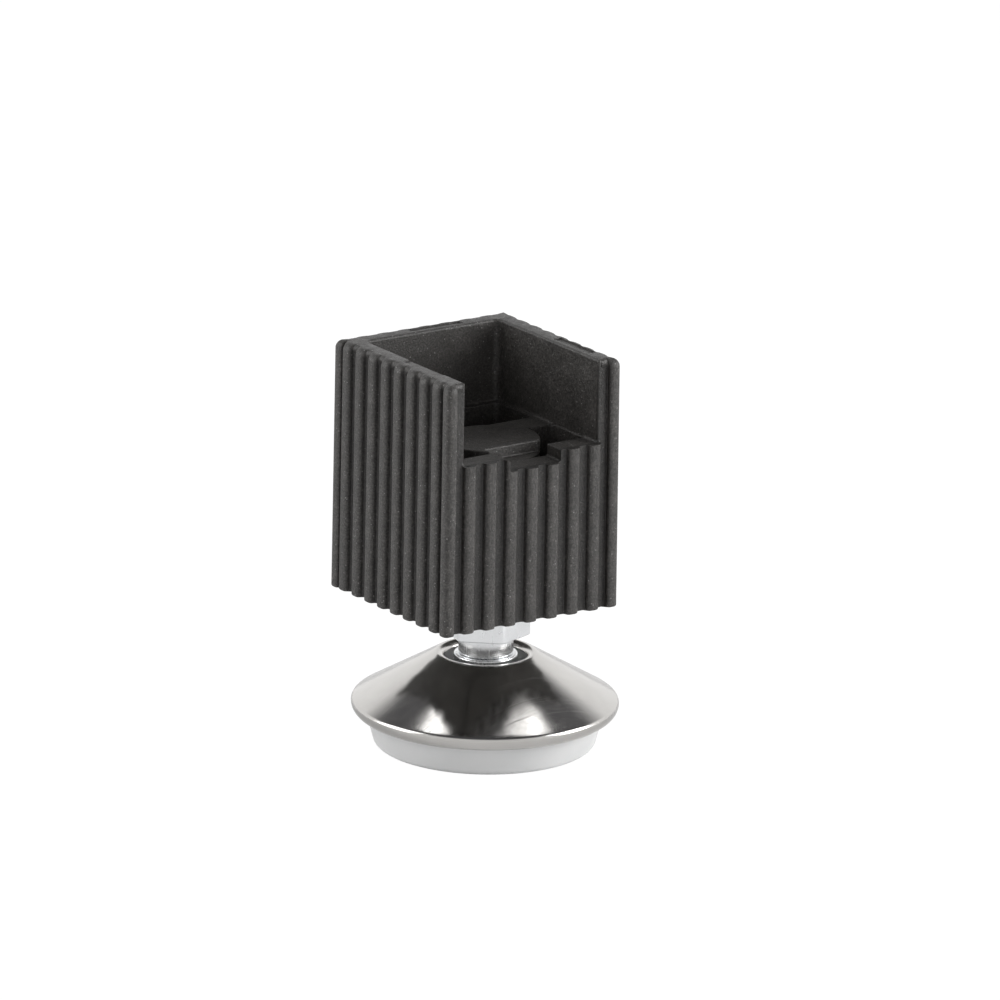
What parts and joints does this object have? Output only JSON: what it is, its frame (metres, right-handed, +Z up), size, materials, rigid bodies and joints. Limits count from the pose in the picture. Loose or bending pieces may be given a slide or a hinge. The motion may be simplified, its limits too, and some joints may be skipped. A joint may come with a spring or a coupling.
{
  "type": "adjustable levelling foot",
  "caption": "Levelling foot for a square furniture or machine tube: ribbed plastic tube plug, threaded steel stem with a spanner hexagon, and a tilting pad with a pressed steel cover.",
  "frame": {"origin": "on the floor, at the centre of the pad's underside, on the stem's axis", "axes": "+Z up along the stem; -Y towards the low, notched side of the tube insert; +X to the right when looking along +Y"},
  "size_m": [0.05, 0.05, 0.0751],
  "materials": {
    "insert_plastic": "satin black glass-filled nylon with fine speckle",
    "bush_steel": "plain turned steel",
    "stem_steel": "bright zinc plating",
    "ring_steel": "bright zinc plating",
    "dish_steel": "polished pressed steel with fine scratches",
    "pad_plastic": "smooth light grey plastic"
  },
  "bodies": {
    "foot": {"base_pad": "pad_plastic", "dish_cover": "dish_steel"},
    "swivel": {"ball_ring": "ring_steel"},
    "stem": {"stem": "stem_steel"},
    "insert": {"tube_insert": "insert_plastic", "threaded_bush": "bush_steel"}
  },
  "joints": [
    {"name": "tilt", "type": "hinge", "parent": "foot", "child": "swivel", "pos_m": [0, 0, 0.0112], "axis": [1, 0, 0], "range_deg": [-8, 8]},
    {"name": "stem_turn", "type": "hinge", "parent": "swivel", "child": "stem", "pos_m": [0, 0, 0.0241], "axis": [0, 0, 1], "range_deg": [-4800, 0]},
    {"name": "height", "type": "slide", "parent": "swivel", "child": "insert", "axis": [0, 0, 1], "range_m": [0, 0.02]}
  ],
  "couplings": [
    {"joint": "stem_turn", "follows": "height", "rad_per_m": -4188.8}
  ]
}
